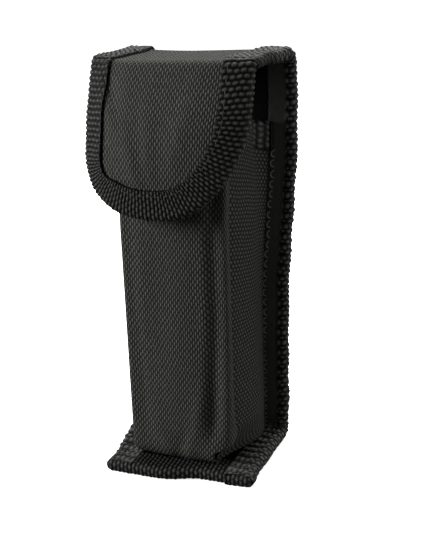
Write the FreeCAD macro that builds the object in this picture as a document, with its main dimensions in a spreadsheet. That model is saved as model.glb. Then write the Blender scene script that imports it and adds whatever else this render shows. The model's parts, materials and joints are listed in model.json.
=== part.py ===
import FreeCAD, Part
import os

import Sketcher

# Closed belt pouch for a pocket torch, sewn from coated nylon, boards and binding tape.
# One stiffened strip makes the base, back, top and flap. A front panel and two side
# gussets are sewn to it 10 mm inside its bound edges. The pouch stands on its base, with
# +Z up, the flap towards -Y and the belt loop towards +Y. The origin is on the floor,
# under the middle of the pouch's overall box. "Depth" is measured forward from the
# rearmost face of the back panel's binding.

doc = FreeCAD.newDocument("BeltPouch")
sheet = doc.addObject("Spreadsheet::Sheet", "Sizes")

sizes = {
    # overall
    "height": 150.0,
    "strip_half": 28.5,          # half width of back, top and base over the bindings
    "front_reach": 52.7,         # foremost point, on the flap's binding
    "loop_reach": 6.1,           # how far the belt loop stands behind the back
    # material thicknesses
    "tape": 0.7,
    "wrap": 0.8,                 # tape around a bound edge
    "leg": 9.2,                  # tape on each face, inward from the wrapped edge
    "shell": 0.6,
    "board": 1.0,
    "lining": 0.4,
    "flange": 0.6,
    "foam": 1.5,
    # folds of the strip
    "fold": 5.0,                 # outer radius of each fold, over the tape
    "fold_gap": 1.5,             # straight cloth left free each side of a fold
    "board_gap": 1.5,            # how far the boards stop short of folds and edges
    "base_depth": 45.5,
    "top_depth": 41.0,
    # front panel and gussets
    "body_half": 18.3,
    "front_depth": 44.0,
    "curl_depth": 38.5,          # where the front panel turns under and meets the base
    "curl_height": 9.0,
    "lean_start": 95.0,          # above this the front panel leans back to the mouth
    "lean": 0.14,
    "mouth_front": 134.0,
    "mouth_rear": 123.5,
    "hem_front": 15.0,           # lower edge of each gusset, open at the base
    "hem_rear": 5.0,
    # flap
    "flap_low": 98.5,
    "flap_half": 30.0,
    "flap_wide_at": 125.0,
    "flap_corner": 25.0,
    "flap_roll": 118.0,          # radius of the flap seen from the side
    "flap_roll_height": 95.5,
    "flap_arch": 64.0,           # radius of the flap seen from above
    "flap_sweep": 26.0,          # degrees
    # hook and loop
    "patch_half": 11.0,
    "patch_low": 109.5,
    "patch_high": 124.0,
    "patch": 1.5,
    # belt loop
    "loop_half": 18.0,
    "loop_low": 40.0,
    "loop_high": 125.0,
    "loop_sewn": 12.0,
    "loop_ramp": 6.0,
    "webbing": 1.5,
    # stitching
    "stitch": 2.8,
    "stitch_pitch": 3.8,
    "thread": 0.5,
    "seam_half": 20.5,
    "seam_low": 9.0,
    "seam_count": 29.0,
    "bar_half": 16.0,
    "bar_pitch": 3.5,
    "bar_count": 9.0,
    "bar_inset": 3.0,
}
for row, (alias, value) in enumerate(sizes.items(), start=1):
    sheet.set(f"A{row}", alias)
    sheet.set(f"B{row}", str(value))
    sheet.setAlias(f"B{row}", alias)
doc.recompute()


def size(text):
    """Turns plain names in an expression into cells of the sheet."""
    for alias in sorted(sizes, key=len, reverse=True):
        text = text.replace(f"<{alias}>", f"Sizes.{alias}")
    return text


def at_depth(text):
    """Y of a point that lies this deep in front of the back face."""
    return f"(<front_reach> - <loop_reach>) / 2 - ({text})"


def front_at(level):
    """Depth of the front panel's outer face at a level between the lean's start and the mouth."""
    return f"(<front_depth> - <lean> * (({level}) - <lean_start>))"


def value_of(holder, text):
    return float(holder.evalExpression(size(text)))


def plane_sketch(body, role, offset=None):
    """An empty sketch on one of the body's own origin planes."""
    sketch = body.newObject("Sketcher::SketchObject", body.Name + "_sketch")
    plane = [feature for feature in body.Origin.OriginFeatures if feature.Role == role][0]
    sketch.AttachmentSupport = [(plane, "")]
    sketch.MapMode = "FlatFace"
    if offset:
        sketch.setExpression("AttachmentOffset.Base.z", size(offset))
        doc.recompute()
    return sketch


def bind(sketch, kind, text, *where):
    index = sketch.addConstraint(Sketcher.Constraint(kind, *where, value_of(sketch, text)))
    sketch.setExpression(f"Constraints[{index}]", size(text))


def polygon(body, role, corners, offset=None):
    """A closed outline of straight lines, each corner bound to the sheet."""
    sketch = plane_sketch(body, role, offset)
    points = [FreeCAD.Vector(value_of(sketch, u), value_of(sketch, v), 0) for u, v in corners]
    count = len(points)
    for i in range(count):
        sketch.addGeometry(Part.LineSegment(points[i], points[(i + 1) % count]))
    for i in range(count):
        sketch.addConstraint(Sketcher.Constraint("Coincident", i, 2, (i + 1) % count, 1))
    for i, (u, v) in enumerate(corners):
        bind(sketch, "DistanceX", u, -1, 1, i, 1)
        bind(sketch, "DistanceY", v, -1, 1, i, 1)
    return sketch


def pad(body, sketch, length, both_ways=False):
    feature = body.newObject("PartDesign::Pad", body.Name + "_pad")
    feature.Profile = sketch
    feature.setExpression("Length", size(length))
    feature.Midplane = both_ways
    doc.recompute()
    return feature


def pocket(body, sketch, length, both_ways=False):
    """Cuts along the sketch's own normal or against it, whichever removes material."""
    before = body.Shape.Volume
    feature = body.newObject("PartDesign::Pocket", body.Name + "_pocket")
    feature.Profile = sketch
    feature.setExpression("Length", size(length))
    feature.Midplane = both_ways
    doc.recompute()
    if body.Shape.Volume > before - 1e-3:
        feature.Reversed = True
        doc.recompute()
    if body.Shape.Volume > before - 1e-3:
        raise RuntimeError(f"{body.Label}: the pocket cuts nothing")
    return feature


def new_body(name):
    body = doc.addObject("PartDesign::Body", name)
    body.Label = name
    return body


def round_edges(body, radius, y, z):
    """Rounds the edges that run along X through the corner at this Y and Z."""
    y, z = value_of(body, y), value_of(body, z)
    names = []
    for i, edge in enumerate(body.Shape.Edges, start=1):
        box = edge.BoundBox
        runs_along_x = box.XLength > 0.1 and box.YLength < 1e-6 and box.ZLength < 1e-6
        if runs_along_x and abs(box.YMin - y) < 1e-4 and abs(box.ZMin - z) < 1e-4:
            names.append(f"Edge{i}")
    base = body.Tip
    feature = body.newObject("PartDesign::Fillet", body.Name + "_fillet")
    feature.Base = (base, names)
    feature.setExpression("Radius", size(radius))
    doc.recompute()


made = []


def keep(piece):
    made.append(piece)
    return piece


def less(name, first, second):
    """The first solid with the second cut away."""
    cut = doc.addObject("Part::Cut", name)
    cut.Label = name
    cut.Base = first
    cut.Tool = second
    return cut


def both(name, first, second):
    """What two solids share."""
    shared = doc.addObject("Part::Common", name)
    shared.Label = name
    shared.Base = first
    shared.Tool = second
    return shared


# The strip's layers, outside to inside
stack = "(<tape> + <shell> + <board> + <lining>)"
layers = {
    "shell": ("<tape>", "<tape> + <shell>"),
    "lining": ("<tape> + <shell> + <board>", stack),
}
board_layer = ("<tape> + <shell>", "<tape> + <shell> + <board>")
hinge_height = "(<height> - <fold>)"
rise = "(<height> - <fold> - <fold_gap>)"
strip_edge = "(<strip_half> - <wrap>)"


def elbow(name, outer, inner, x_from, x_to, front, top):
    """Base and back in one piece: an L in side view, rounded at the lower rear fold."""
    body = new_body(name)
    corners = [
        (at_depth(front), outer),
        (at_depth(outer), outer),
        (at_depth(outer), top),
        (at_depth(inner), top),
        (at_depth(inner), inner),
        (at_depth(front), inner),
    ]
    sketch = polygon(body, "YZ_Plane", corners, offset=x_from)
    pad(body, sketch, f"({x_to}) - ({x_from})")
    round_edges(body, f"<fold> - ({outer})", at_depth(outer), outer)
    round_edges(body, f"<fold> - ({inner})", at_depth(inner), inner)
    return body


for layer, (outer, inner) in layers.items():
    keep(elbow(f"back_base_{layer}", outer, inner, f"-{strip_edge}", strip_edge,
               "<base_depth> - <wrap>", rise))


def plate(name, x_from, x_to, y_from, y_to, z_from, z_to):
    """A flat rectangular sheet, such as a stiffener board."""
    box = doc.addObject("Part::Box", name)
    box.Label = name
    box.setExpression("Length", size(f"({x_to}) - ({x_from})"))
    box.setExpression("Width", size(f"({y_to}) - ({y_from})"))
    box.setExpression("Height", size(f"({z_to}) - ({z_from})"))
    box.setExpression("Placement.Base.x", size(x_from))
    box.setExpression("Placement.Base.y", size(y_from))
    box.setExpression("Placement.Base.z", size(z_from))
    return box


board_half = f"({strip_edge} - <board_gap>)"
keep(plate("back_board", f"-{board_half}", board_half,
           at_depth(board_layer[1]), at_depth(board_layer[0]),
           "<fold> + <board_gap>", f"{rise} - <board_gap>"))
keep(plate("base_board", f"-{board_half}", board_half,
           at_depth("<base_depth> - <wrap> - <board_gap>"), at_depth("<fold> + <board_gap>"),
           board_layer[0], board_layer[1]))

# Binding tape on the strip's long edges and on the base's front edge
seam_stack = f"({stack} + <flange>)"
seam_face = f"({seam_stack} + <tape>)"
binding_front = "(<base_depth> - <wrap> - <leg>)"


def side_binding(side):
    """Tape folded over one edge of the base and back, with the gusset's flange inside it."""
    name = f"side_binding_{side}"
    sign = "-" if side == "left" else ""
    inner_x, outer_x, core_x = "(<strip_half> - <wrap> - <leg>)", "<strip_half>", strip_edge
    ends = [f"{sign}{inner_x}", f"{sign}{outer_x}"]
    core_ends = [f"{sign}{inner_x}", f"{sign}{core_x}"]
    if side == "left":
        ends.reverse()
        core_ends.reverse()
    tape = elbow(name + "_tape", "0", seam_face, *ends, binding_front, rise)
    core = elbow(name + "_core", "<tape>", seam_stack, *core_ends, binding_front, rise)
    return less(name, tape, core)


for side in ("left", "right"):
    keep(side_binding(side))

front_binding = new_body("base_front_binding")
binding_top = f"({stack} + <tape>)"
pad(front_binding, polygon(front_binding, "YZ_Plane", [
    (at_depth("<base_depth>"), "0"),
    (at_depth(binding_front), "0"),
    (at_depth(binding_front), "<tape>"),
    (at_depth("<base_depth> - <wrap>"), "<tape>"),
    (at_depth("<base_depth> - <wrap>"), stack),
    (at_depth(binding_front), stack),
    (at_depth(binding_front), binding_top),
    (at_depth("<base_depth>"), binding_top),
]), "2 * <strip_half>", both_ways=True)
keep(front_binding)

# Front panel: upright, leaning back to the mouth, turned under at the base
front_line = [
    ("<curl_depth>", binding_top),
    ("<front_depth>", "<curl_height>"),
    ("<front_depth>", "<lean_start>"),
    (front_at("<mouth_front>"), "<mouth_front>"),
]


def front_layer(name, outer, inner, line):
    """One layer of the front panel, between two distances behind its outer face."""
    body = new_body(name)
    ahead = [(at_depth(f"{depth} - ({outer})"), level) for depth, level in line]
    behind = [(at_depth(f"{depth} - ({inner})"), level) for depth, level in reversed(line)]
    pad(body, polygon(body, "YZ_Plane", ahead + behind), "2 * <body_half>", both_ways=True)
    return body


foam_line = [
    ("<front_depth>", "<curl_height> + <board_gap>"),
    ("<front_depth>", "<lean_start>"),
    (front_at("<mouth_front> - <board_gap>"), "<mouth_front> - <board_gap>"),
]
front_thick = "(<shell> + <foam> + <lining>)"
keep(front_layer("front_shell", "0", "<shell>", front_line))
keep(front_layer("front_foam", "<shell>", "<shell> + <foam>", foam_line))
keep(front_layer("front_lining", "<shell> + <foam>", front_thick, front_line))

# Side gussets, each with a flange sewn under the strip's binding
gusset_outline = [
    (at_depth(stack), "<hem_rear>"),
    (at_depth(f"<front_depth> - {front_thick}"), "<hem_front>"),
    (at_depth(f"<front_depth> - {front_thick}"), "<lean_start>"),
    (at_depth(f"{front_at('<mouth_front>')} - {front_thick}"), "<mouth_front>"),
    (at_depth(stack), "<mouth_rear>"),
]


def wall(name, side, x_near, x_far):
    """A gusset layer between two distances from the pouch's middle plane."""
    body = new_body(name)
    start = f"-({x_far})" if side == "left" else x_near
    pad(body, polygon(body, "YZ_Plane", gusset_outline, offset=start), f"({x_far}) - ({x_near})")
    return body


def gusset_shell(side):
    name = f"gusset_{side}_shell"
    panel = wall(name + "_panel", side, "<body_half> - <shell>", "<body_half>")
    x_from = f"-{strip_edge}" if side == "left" else "<body_half>"
    x_to = "-<body_half>" if side == "left" else strip_edge
    flange = plate(name + "_flange", x_from, x_to, at_depth(seam_stack), at_depth(stack),
                   "<hem_rear>", "<mouth_rear>")
    joined = doc.addObject("Part::Fuse", name)
    joined.Label = name
    joined.Base = panel
    joined.Tool = flange
    return joined


gusset_inner = "(<body_half> - <shell> - <lining>)"
for side in ("left", "right"):
    keep(gusset_shell(side))
    keep(wall(f"gusset_{side}_lining", side, gusset_inner, "<body_half> - <shell>"))

# Binding tape round the mouth
tape_drop = "(<leg> + <wrap>)"
mouth_low = f"(<mouth_front> + <wrap> - {tape_drop})"


def slanted(low, high, outer, inner):
    """A band that follows the leaning front panel between two levels."""
    return [
        (at_depth(f"{front_at(low)} - ({outer})"), low),
        (at_depth(f"{front_at(high)} - ({outer})"), high),
        (at_depth(f"{front_at(high)} - ({inner})"), high),
        (at_depth(f"{front_at(low)} - ({inner})"), low),
    ]


tape_half = f"({gusset_inner} - <tape>)"
mouth_front = new_body("mouth_binding_front")
pad(mouth_front, polygon(mouth_front, "YZ_Plane", slanted(
    mouth_low, "<mouth_front> + <wrap>", "-<tape>", f"{front_thick} + <tape>",
)), f"2 * {tape_half}", both_ways=True)
pocket(mouth_front, polygon(mouth_front, "YZ_Plane", slanted(
    mouth_low, "<mouth_front>", "0", front_thick,
)), f"2 * {tape_half}", both_ways=True)
keep(mouth_front)


mouth_inner = f"({front_at('<mouth_front>')} - {front_thick})"
mouth_slope = f"((<mouth_front> - <mouth_rear>) / ({mouth_inner} - {stack}))"
rear_edge = f"(<mouth_rear> + {mouth_slope} * ({seam_face} - {stack}))"


def mouth_binding_side(side):
    """Tape over a gusset's upper edge, turned round the corner to meet the front tape."""
    name = f"mouth_binding_{side}"
    outline = [
        (at_depth(seam_face), f"{rear_edge} + <wrap> - {tape_drop}"),
        (at_depth(mouth_inner), mouth_low),
        (at_depth(f"{front_at(mouth_low)} + <tape>"), mouth_low),
        (at_depth(f"{front_at('<mouth_front> + <wrap>')} + <tape>"), "<mouth_front> + <wrap>"),
        (at_depth(mouth_inner), "<mouth_front> + <wrap>"),
        (at_depth(seam_face), f"{rear_edge} + <wrap>"),
    ]
    x_far = "(<body_half> + <tape>)"
    start = f"-{x_far}" if side == "left" else tape_half
    block = new_body(name + "_block")
    pad(block, polygon(block, "YZ_Plane", outline, offset=start), f"{x_far} - {tape_half}")
    side_wall = wall(name + "_wall", side, gusset_inner, "<body_half>")
    front_wall = front_layer(name + "_front", "0", front_thick, front_line)
    return less(name, less(name + "_around_side", block, side_wall), front_wall)


for side in ("left", "right"):
    keep(mouth_binding_side(side))

# Loop patch on the front panel
loop_patch = new_body("loop_patch")
pad(loop_patch, polygon(loop_patch, "YZ_Plane", slanted(
    "<patch_low>", "<patch_high>", "-<patch>", "0",
)), "2 * <patch_half>", both_ways=True)
keep(loop_patch)

# Belt loop: webbing sewn flat at both ends and standing off between them
back_face = "<tape>"
loop_face = "(<webbing> - <loop_reach>)"
belt_loop = new_body("belt_loop")
loop_line = [
    (back_face, "<loop_low>"),
    (back_face, "<loop_low> + <loop_sewn>"),
    (loop_face, "<loop_low> + <loop_sewn> + <loop_ramp>"),
    (loop_face, "<loop_high> - <loop_sewn> - <loop_ramp>"),
    (back_face, "<loop_high> - <loop_sewn>"),
    (back_face, "<loop_high>"),
]
loop_near = [(at_depth(depth), level) for depth, level in loop_line]
loop_far = [(at_depth(f"{depth} - <webbing>"), level) for depth, level in reversed(loop_line)]
pad(belt_loop, polygon(belt_loop, "YZ_Plane", loop_near + loop_far), "2 * <loop_half>", both_ways=True)
keep(belt_loop)


# Stitching: rows of raised threads
def stitch_row(name, role, stitches, offset, height, axis_role, pitch, count):
    """Raised threads repeated along a straight seam."""
    body = new_body(name)
    sketch = plane_sketch(body, role, offset)
    line = 0
    for u_from, u_to, v_from, v_to in stitches:
        corners = [(u_from, v_from), (u_to, v_from), (u_to, v_to), (u_from, v_to)]
        points = [FreeCAD.Vector(value_of(sketch, u), value_of(sketch, v), 0) for u, v in corners]
        for i in range(4):
            sketch.addGeometry(Part.LineSegment(points[i], points[(i + 1) % 4]))
        for i in range(4):
            after = line + (i + 1) % 4
            sketch.addConstraint(Sketcher.Constraint("Coincident", line + i, 2, after, 1))
        for i, (u, v) in enumerate(corners):
            bind(sketch, "DistanceX", u, -1, 1, line + i, 1)
            bind(sketch, "DistanceY", v, -1, 1, line + i, 1)
        line += 4
    first = pad(body, sketch, height)
    row = body.newObject("PartDesign::LinearPattern", name + "_row")
    row.Originals = [first]
    axis = [feature for feature in body.Origin.OriginFeatures if feature.Role == axis_role][0]
    row.Direction = (axis, [""])
    row.setExpression("Length", size(f"{pitch} * ({count} - 1)"))
    row.setExpression("Occurrences", size(count))
    body.Tip = row
    doc.recompute()
    return body


half_thread = "(<thread> / 2)"
for side, sign in (("left", "-"), ("right", "")):
    centre = f"{sign}<seam_half>"
    keep(stitch_row(
        f"seam_stitching_{side}", "XZ_Plane",
        [(f"{centre} - {half_thread}", f"{centre} + {half_thread}",
          "<seam_low>", "<seam_low> + <stitch>")],
        f"-({at_depth(seam_face)})", half_thread, "Z_Axis", "<stitch_pitch>", "<seam_count>",
    ))

for end, level in (("lower", "<loop_low>"), ("upper", "<loop_high> - <loop_sewn>")):
    rows = []
    for inset in ("<bar_inset>", "<loop_sewn> - <bar_inset>"):
        middle = f"{level} + {inset}"
        rows.append(("-<bar_half>", "-<bar_half> + <stitch>",
                     f"{middle} - {half_thread}", f"{middle} + {half_thread}"))
    keep(stitch_row(
        f"belt_loop_stitching_{end}", "XZ_Plane", rows,
        f"-({at_depth(f'{back_face} - <webbing>')}) - {half_thread}", half_thread,
        "X_Axis", "<bar_pitch>", "<bar_count>",
    ))

# Top panel, flat between its two folds
lid_rear = at_depth("<fold> + <fold_gap>")
lid_front = at_depth("<top_depth> - <fold> - <fold_gap>")


def lid_plate(name, x_from, x_to, outer, inner, inset="0"):
    return plate(name, x_from, x_to, f"{lid_front} + {inset}", f"{lid_rear} - {inset}",
                 f"<height> - ({inner})", f"<height> - ({outer})")


for layer, (outer, inner) in layers.items():
    keep(lid_plate(f"top_{layer}", f"-{strip_edge}", strip_edge, outer, inner))
keep(lid_plate("top_board", f"-{board_half}", board_half, *board_layer, inset="<board_gap>"))


def bound_edge(name, side, make, inner_face):
    """Folded tape on one side edge of a piece of the strip: a block less the edge it holds."""
    inner_x = "(<strip_half> - <wrap> - <leg>)"
    if side == "left":
        tape = make(name + "_tape", "-<strip_half>", f"-{inner_x}", "0", f"{inner_face} + <tape>")
        core = make(name + "_core", f"-{strip_edge}", f"-{inner_x}", "<tape>", inner_face)
    else:
        tape = make(name + "_tape", inner_x, "<strip_half>", "0", f"{inner_face} + <tape>")
        core = make(name + "_core", inner_x, strip_edge, "<tape>", inner_face)
    return less(name, tape, core)


for side in ("left", "right"):
    keep(bound_edge(f"top_binding_{side}", side, lid_plate, stack))


# The strip's two upper folds: cloth and tape with no board inside
def fold_band(name, x_from, x_to, outer, inner, where):
    """An L in side view, rounded, that joins an upright panel to the top panel."""
    body = new_body(name)
    far = lid_rear if where == "rear" else lid_front

    def reach(depth):
        return at_depth(depth if where == "rear" else f"<top_depth> - ({depth})")

    corners = [
        (reach(outer), rise),
        (reach(outer), f"<height> - ({outer})"),
        (far, f"<height> - ({outer})"),
        (far, f"<height> - ({inner})"),
        (reach(inner), f"<height> - ({inner})"),
        (reach(inner), rise),
    ]
    pad(body, polygon(body, "YZ_Plane", corners, offset=x_from), f"({x_to}) - ({x_from})")
    round_edges(body, f"<fold> - ({outer})", reach(outer), f"<height> - ({outer})")
    round_edges(body, f"<fold> - ({inner})", reach(inner), f"<height> - ({inner})")
    return body


for where in ("rear", "front"):
    def band(name, x_from, x_to, outer, inner):
        return fold_band(name, x_from, x_to, outer, inner, where)
    for layer, (outer, inner) in layers.items():
        keep(band(f"{where}_fold_{layer}", f"-{strip_edge}", strip_edge, outer, inner))
    for side in ("left", "right"):
        keep(bound_edge(f"{where}_fold_binding_{side}", side, band, stack))


# Flap: arched across, rolled forward, with round lower corners
def flap_band(name, outer, inner):
    """A layer of the flap before it is cut to outline: an arched strip turned about a line."""
    body = new_body(name)
    sketch = plane_sketch(body, "XY_Plane", "<flap_roll_height>")
    middle = at_depth("<front_reach> - <tape> - <flap_arch>")
    centre_y = value_of(sketch, middle)
    half = "(<flap_half> + <tape>)"
    half_x = value_of(sketch, half)
    ends = []
    for index, inset in enumerate((outer, inner)):
        text = f"<flap_arch> + <tape> - ({inset})"
        radius = value_of(sketch, text)
        drop = (radius ** 2 - half_x ** 2) ** 0.5
        left = FreeCAD.Vector(-half_x, centre_y - drop, 0)
        right = FreeCAD.Vector(half_x, centre_y - drop, 0)
        lowest = FreeCAD.Vector(0, centre_y - radius, 0)
        sketch.addGeometry(Part.Arc(left, lowest, right))
        ends.append((left, right))
    for which in (0, 1):
        sketch.addGeometry(Part.LineSegment(ends[0][which], ends[1][which]))
    for arc in (0, 1):
        for which in (0, 1):
            at = FreeCAD.Vector(ends[arc][which])
            start_point = sketch.getPoint(arc, 1)
            corner = 1 if start_point.distanceToPoint(at) < 1e-6 else 2
            sketch.addConstraint(Sketcher.Constraint("Coincident", arc, corner, 2 + which, arc + 1))
            sign = "-" if which == 0 else ""
            bind(sketch, "DistanceX", f"{sign}{half}", -1, 1, arc, corner)
        text = f"<flap_arch> + <tape> - ({outer if arc == 0 else inner})"
        bind(sketch, "Radius", text, arc)
        bind(sketch, "DistanceY", middle, -1, 1, arc, 3)
    axis = sketch.addGeometry(Part.LineSegment(FreeCAD.Vector(-1, 0, 0), FreeCAD.Vector(1, 0, 0)))
    sketch.toggleConstruction(axis)
    turn = at_depth("<front_reach> - <tape> - <flap_roll>")
    for corner, x in ((1, "-1"), (2, "1")):
        bind(sketch, "DistanceX", x, -1, 1, axis, corner)
        bind(sketch, "DistanceY", turn, -1, 1, axis, corner)
    doc.recompute()
    feature = body.newObject("PartDesign::Revolution", name + "_turn")
    feature.Profile = sketch
    feature.ReferenceAxis = (sketch, ["Axis0"])
    feature.setExpression("Angle", size("<flap_sweep>"))
    doc.recompute()
    if body.Shape.BoundBox.ZMax < sizes["flap_low"]:
        feature.Reversed = True
        doc.recompute()
    return body


def flap_outline(name, inset, top=rise):
    """A prism of the flap's front outline, drawn in by the inset along its bound edge."""
    body = new_body(name)
    shoulder = f"(<strip_half> - ({inset}))"
    wide = f"(<flap_half> - ({inset}))"
    low = f"<flap_low> + ({inset})"
    corners = [
        (f"-{shoulder}", top),
        (f"-{wide}", "<flap_wide_at>"),
        (f"-{wide}", low),
        (wide, low),
        (wide, "<flap_wide_at>"),
        (shoulder, top),
    ]
    sketch = polygon(body, "XZ_Plane", corners)
    pad(body, sketch, "4 * <base_depth>", both_ways=True)
    z = value_of(body, low)
    names = []
    for i, edge in enumerate(body.Shape.Edges, start=1):
        box = edge.BoundBox
        runs_along_y = box.YLength > 1 and box.XLength < 1e-6 and box.ZLength < 1e-6
        if runs_along_y and abs(box.ZMin - z) < 1e-4:
            names.append(f"Edge{i}")
    base = body.Tip
    feature = body.newObject("PartDesign::Fillet", name + "_corners")
    feature.Base = (base, names)
    feature.setExpression("Radius", size(f"<flap_corner> - ({inset})"))
    doc.recompute()
    return body


for layer, (outer, inner) in layers.items():
    name = f"flap_{layer}"
    keep(both(name, flap_band(name + "_band", outer, inner), flap_outline(name + "_outline", "<wrap>")))
keep(both("flap_board", flap_band("flap_board_band", *board_layer),
          flap_outline("flap_board_outline", "<wrap> + <board_gap>", top=f"{rise} - <board_gap>")))

tape_sheet = both("flap_binding_sheet", flap_band("flap_binding_band", "0", f"{stack} + <tape>"),
                  flap_outline("flap_binding_outline", "0"))
tape_core = both("flap_binding_core", flap_band("flap_core_band", "<tape>", stack),
                 flap_outline("flap_core_outline", "<wrap>"))
tape_ring = less("flap_binding_ring", tape_sheet, flap_outline("flap_window_outline", tape_drop))
keep(less("flap_binding", tape_ring, tape_core))


hook_outline = plate("hook_outline", "-<patch_half>", "<patch_half>",
                     "-2 * <base_depth>", "<front_depth>", "<patch_low>", "<patch_high>")
keep(both("hook_patch", flap_band("hook_band", stack, f"{stack} + <patch>"), hook_outline))

doc.recompute()

# Checks, then one file for each piece
for item in doc.Objects:
    if "Invalid" in item.State or "Error" in item.State:
        raise RuntimeError(f"{item.Label} failed: {item.State}")

os.makedirs("parts", exist_ok=True)
for piece in made:
    shape = piece.Shape
    if shape.isNull() or not shape.isValid() or shape.Volume <= 0:
        raise RuntimeError(f"{piece.Label} has no valid shape")
    shape.exportStep(f"parts/{piece.Label}.step")
    box = shape.BoundBox
    print(f"{piece.Label:28s} {shape.Volume:9.1f} mm3  {len(shape.Solids)} solid(s)  "
          f"y {box.YMin:6.1f} {box.YMax:6.1f}  z {box.ZMin:6.1f} {box.ZMax:6.1f}")
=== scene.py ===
import json
import math
import random
from functools import partial

import bpy
import numpy as np
from mathutils import Matrix, Vector


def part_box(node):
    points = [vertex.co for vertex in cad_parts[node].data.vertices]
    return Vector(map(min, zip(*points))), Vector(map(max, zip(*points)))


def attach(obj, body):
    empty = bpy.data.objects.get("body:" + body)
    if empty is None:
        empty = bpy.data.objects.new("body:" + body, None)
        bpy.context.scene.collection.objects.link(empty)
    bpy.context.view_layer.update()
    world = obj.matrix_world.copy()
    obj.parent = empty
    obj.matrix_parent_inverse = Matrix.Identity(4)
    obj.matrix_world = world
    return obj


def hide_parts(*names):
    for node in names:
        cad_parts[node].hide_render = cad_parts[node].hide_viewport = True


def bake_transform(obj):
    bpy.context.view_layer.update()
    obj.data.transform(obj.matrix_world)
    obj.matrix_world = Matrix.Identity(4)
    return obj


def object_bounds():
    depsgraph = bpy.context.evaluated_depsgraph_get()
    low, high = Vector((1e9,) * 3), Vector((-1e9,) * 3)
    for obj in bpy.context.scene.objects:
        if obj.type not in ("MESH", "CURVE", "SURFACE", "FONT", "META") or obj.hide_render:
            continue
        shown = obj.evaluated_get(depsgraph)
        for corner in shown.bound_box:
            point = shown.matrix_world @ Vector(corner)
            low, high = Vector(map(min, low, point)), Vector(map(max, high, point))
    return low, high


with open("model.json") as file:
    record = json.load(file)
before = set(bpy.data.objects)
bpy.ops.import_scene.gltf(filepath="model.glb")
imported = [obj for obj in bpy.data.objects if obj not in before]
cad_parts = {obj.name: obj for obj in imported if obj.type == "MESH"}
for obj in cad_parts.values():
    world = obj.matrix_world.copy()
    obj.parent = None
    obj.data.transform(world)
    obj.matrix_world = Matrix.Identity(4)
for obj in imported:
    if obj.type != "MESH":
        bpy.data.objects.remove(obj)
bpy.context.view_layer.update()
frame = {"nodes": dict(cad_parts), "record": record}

# Belt pouch for a pocket torch: one bound strip makes base, back, top and flap,
# with a front panel and two gussets sewn to it. Sizes are in millimetres here,
# and depth is measured forward from the back of the strip.

mm = 0.001
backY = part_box("side_binding_right")[1][1] / mm
print("frame loaded, back of the strip at y =", round(backY, 2), "mm")


def smooth(x, low, high):
    # a soft step from 0 at low to 1 at high
    t = np.clip((np.asarray(x, float) - low) / (high - low), 0, 1)
    return t * t * (3 - 2 * t)


def unit(v):
    return v / np.maximum(np.linalg.norm(v, axis=-1, keepdims=True), 1e-9)


def evenly(pts, step):
    # the same line with its points evenly spaced, and the distance along it
    along = np.concatenate([[0], np.cumsum(np.linalg.norm(np.diff(pts, axis=0), axis=1))])
    s = np.linspace(0, along[-1], max(3, int(round(along[-1] / step)) + 1))
    return s, np.stack([np.interp(s, along, pts[:, k]) for k in range(pts.shape[1])], 1)


def roundedLine(corners, step):
    # straight runs joined by arcs; each corner is (a, b, radius)
    pts = [np.array(corners[0][:2], float)]
    for before, here, after in zip(corners, corners[1:], corners[2:]):
        p, r = np.array(here[:2], float), here[2]
        u = unit(np.array(before[:2], float) - p)
        v = unit(np.array(after[:2], float) - p)
        half = math.acos(np.clip(u @ v, -1, 1)) / 2
        run = r / math.tan(half)
        centre = p + unit(u + v) * r / math.sin(half)
        a, b = p + u * run - centre, p + v * run - centre
        turn = math.atan2(a[0] * b[1] - a[1] * b[0], a @ b)
        for k in np.linspace(0, 1, max(4, int(r * abs(turn) / step))):
            c, s = math.cos(turn * k), math.sin(turn * k)
            pts.append(centre + np.array([c * a[0] - s * a[1], s * a[0] + c * a[1]]))
    pts.append(np.array(corners[-1][:2], float))
    return evenly(np.array(pts), step)


def smoothLine(pts, step, wide=9):
    # the line with its corners softened, and its points evenly spaced again
    s, p = evenly(pts, step)
    kernel = np.hanning(wide * 4 + 3)[1:-1]
    kernel /= kernel.sum()
    pad = len(kernel) // 2
    for k in range(2):
        c = p[:, k]
        longer = np.concatenate([2 * c[0] - c[pad:0:-1], c, 2 * c[-1] - c[-2:-pad - 2:-1]])
        p[:, k] = np.convolve(longer, kernel, "valid")
    return evenly(p, step)


def directionAt(dist, pts, s, near):
    # unit direction of a side line at distance s, from the points just before and after it
    before, after = (np.array([np.interp(at, dist, axis) for axis in pts.T]) for at in (s - near, s + near))
    ahead = after - before
    return ahead / np.hypot(*ahead)


def inwardOf(pts, towards):
    # unit vector across the line, on the side that leads to the point given
    t = unit(np.gradient(pts, axis=0))
    n = np.stack([-t[:, 1], t[:, 0]], 1)
    middle = len(pts) // 2
    if (np.array(towards) - pts[middle]) @ n[middle] < 0:
        n = -n
    return n


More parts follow.
